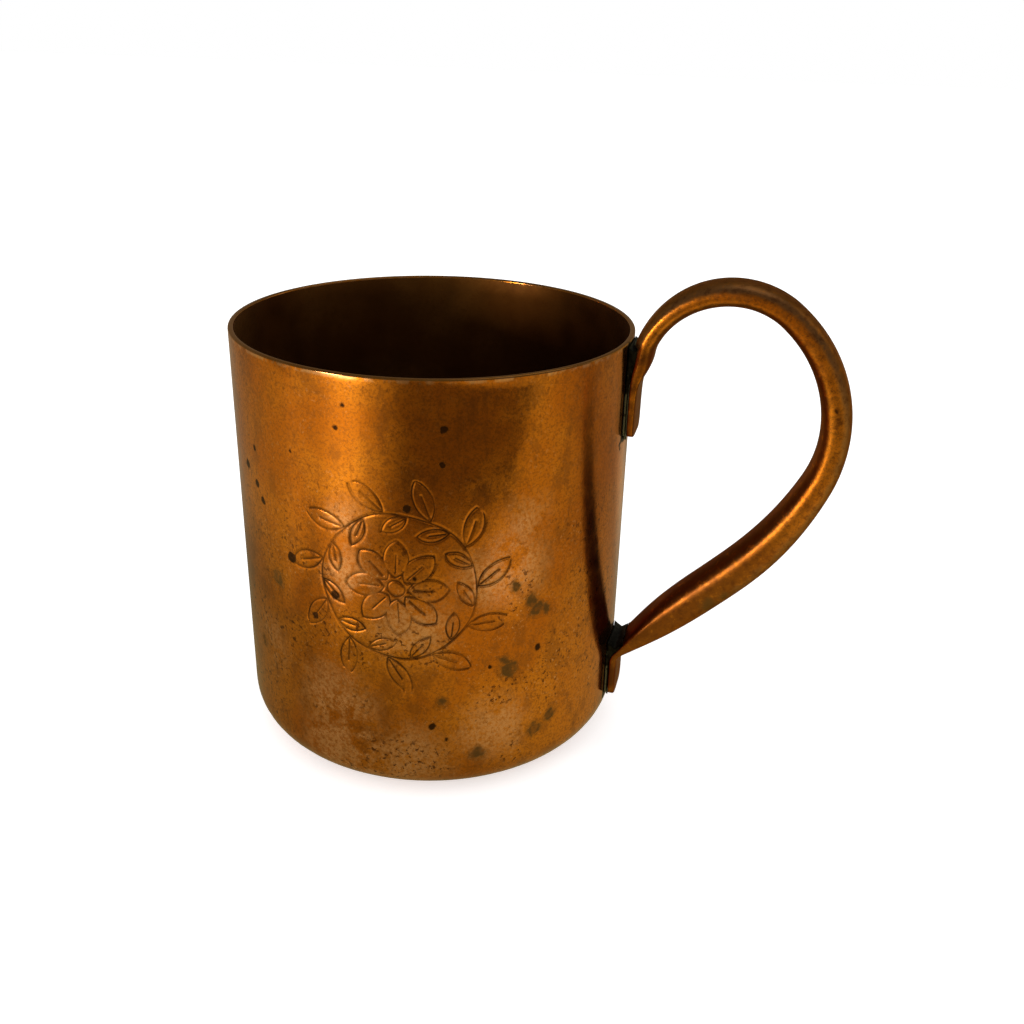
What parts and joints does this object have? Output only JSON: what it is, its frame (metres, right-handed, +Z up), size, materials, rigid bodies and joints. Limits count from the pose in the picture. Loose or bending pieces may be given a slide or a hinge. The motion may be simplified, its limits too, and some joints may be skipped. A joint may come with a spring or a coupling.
{
  "type": "copper mug",
  "caption": "Straight-sided copper drinking mug with a bent hollow tube handle soldered to its side by flattened tabs.",
  "frame": {"origin": "centre of the flat base, on the cup's axis", "axes": "+Z up along the cup's axis, +X from the axis towards the handle"},
  "size_m": [0.1167, 0.0762, 0.0945],
  "materials": {
    "cup_copper": "aged polished copper",
    "handle_copper": "aged polished copper",
    "solder": "dull solder with green tarnish"
  },
  "bodies": {
    "root": {"cup_body": "cup_copper", "handle": "handle_copper", "upper_solder": "solder", "lower_solder": "solder"}
  },
  "joints": []
}
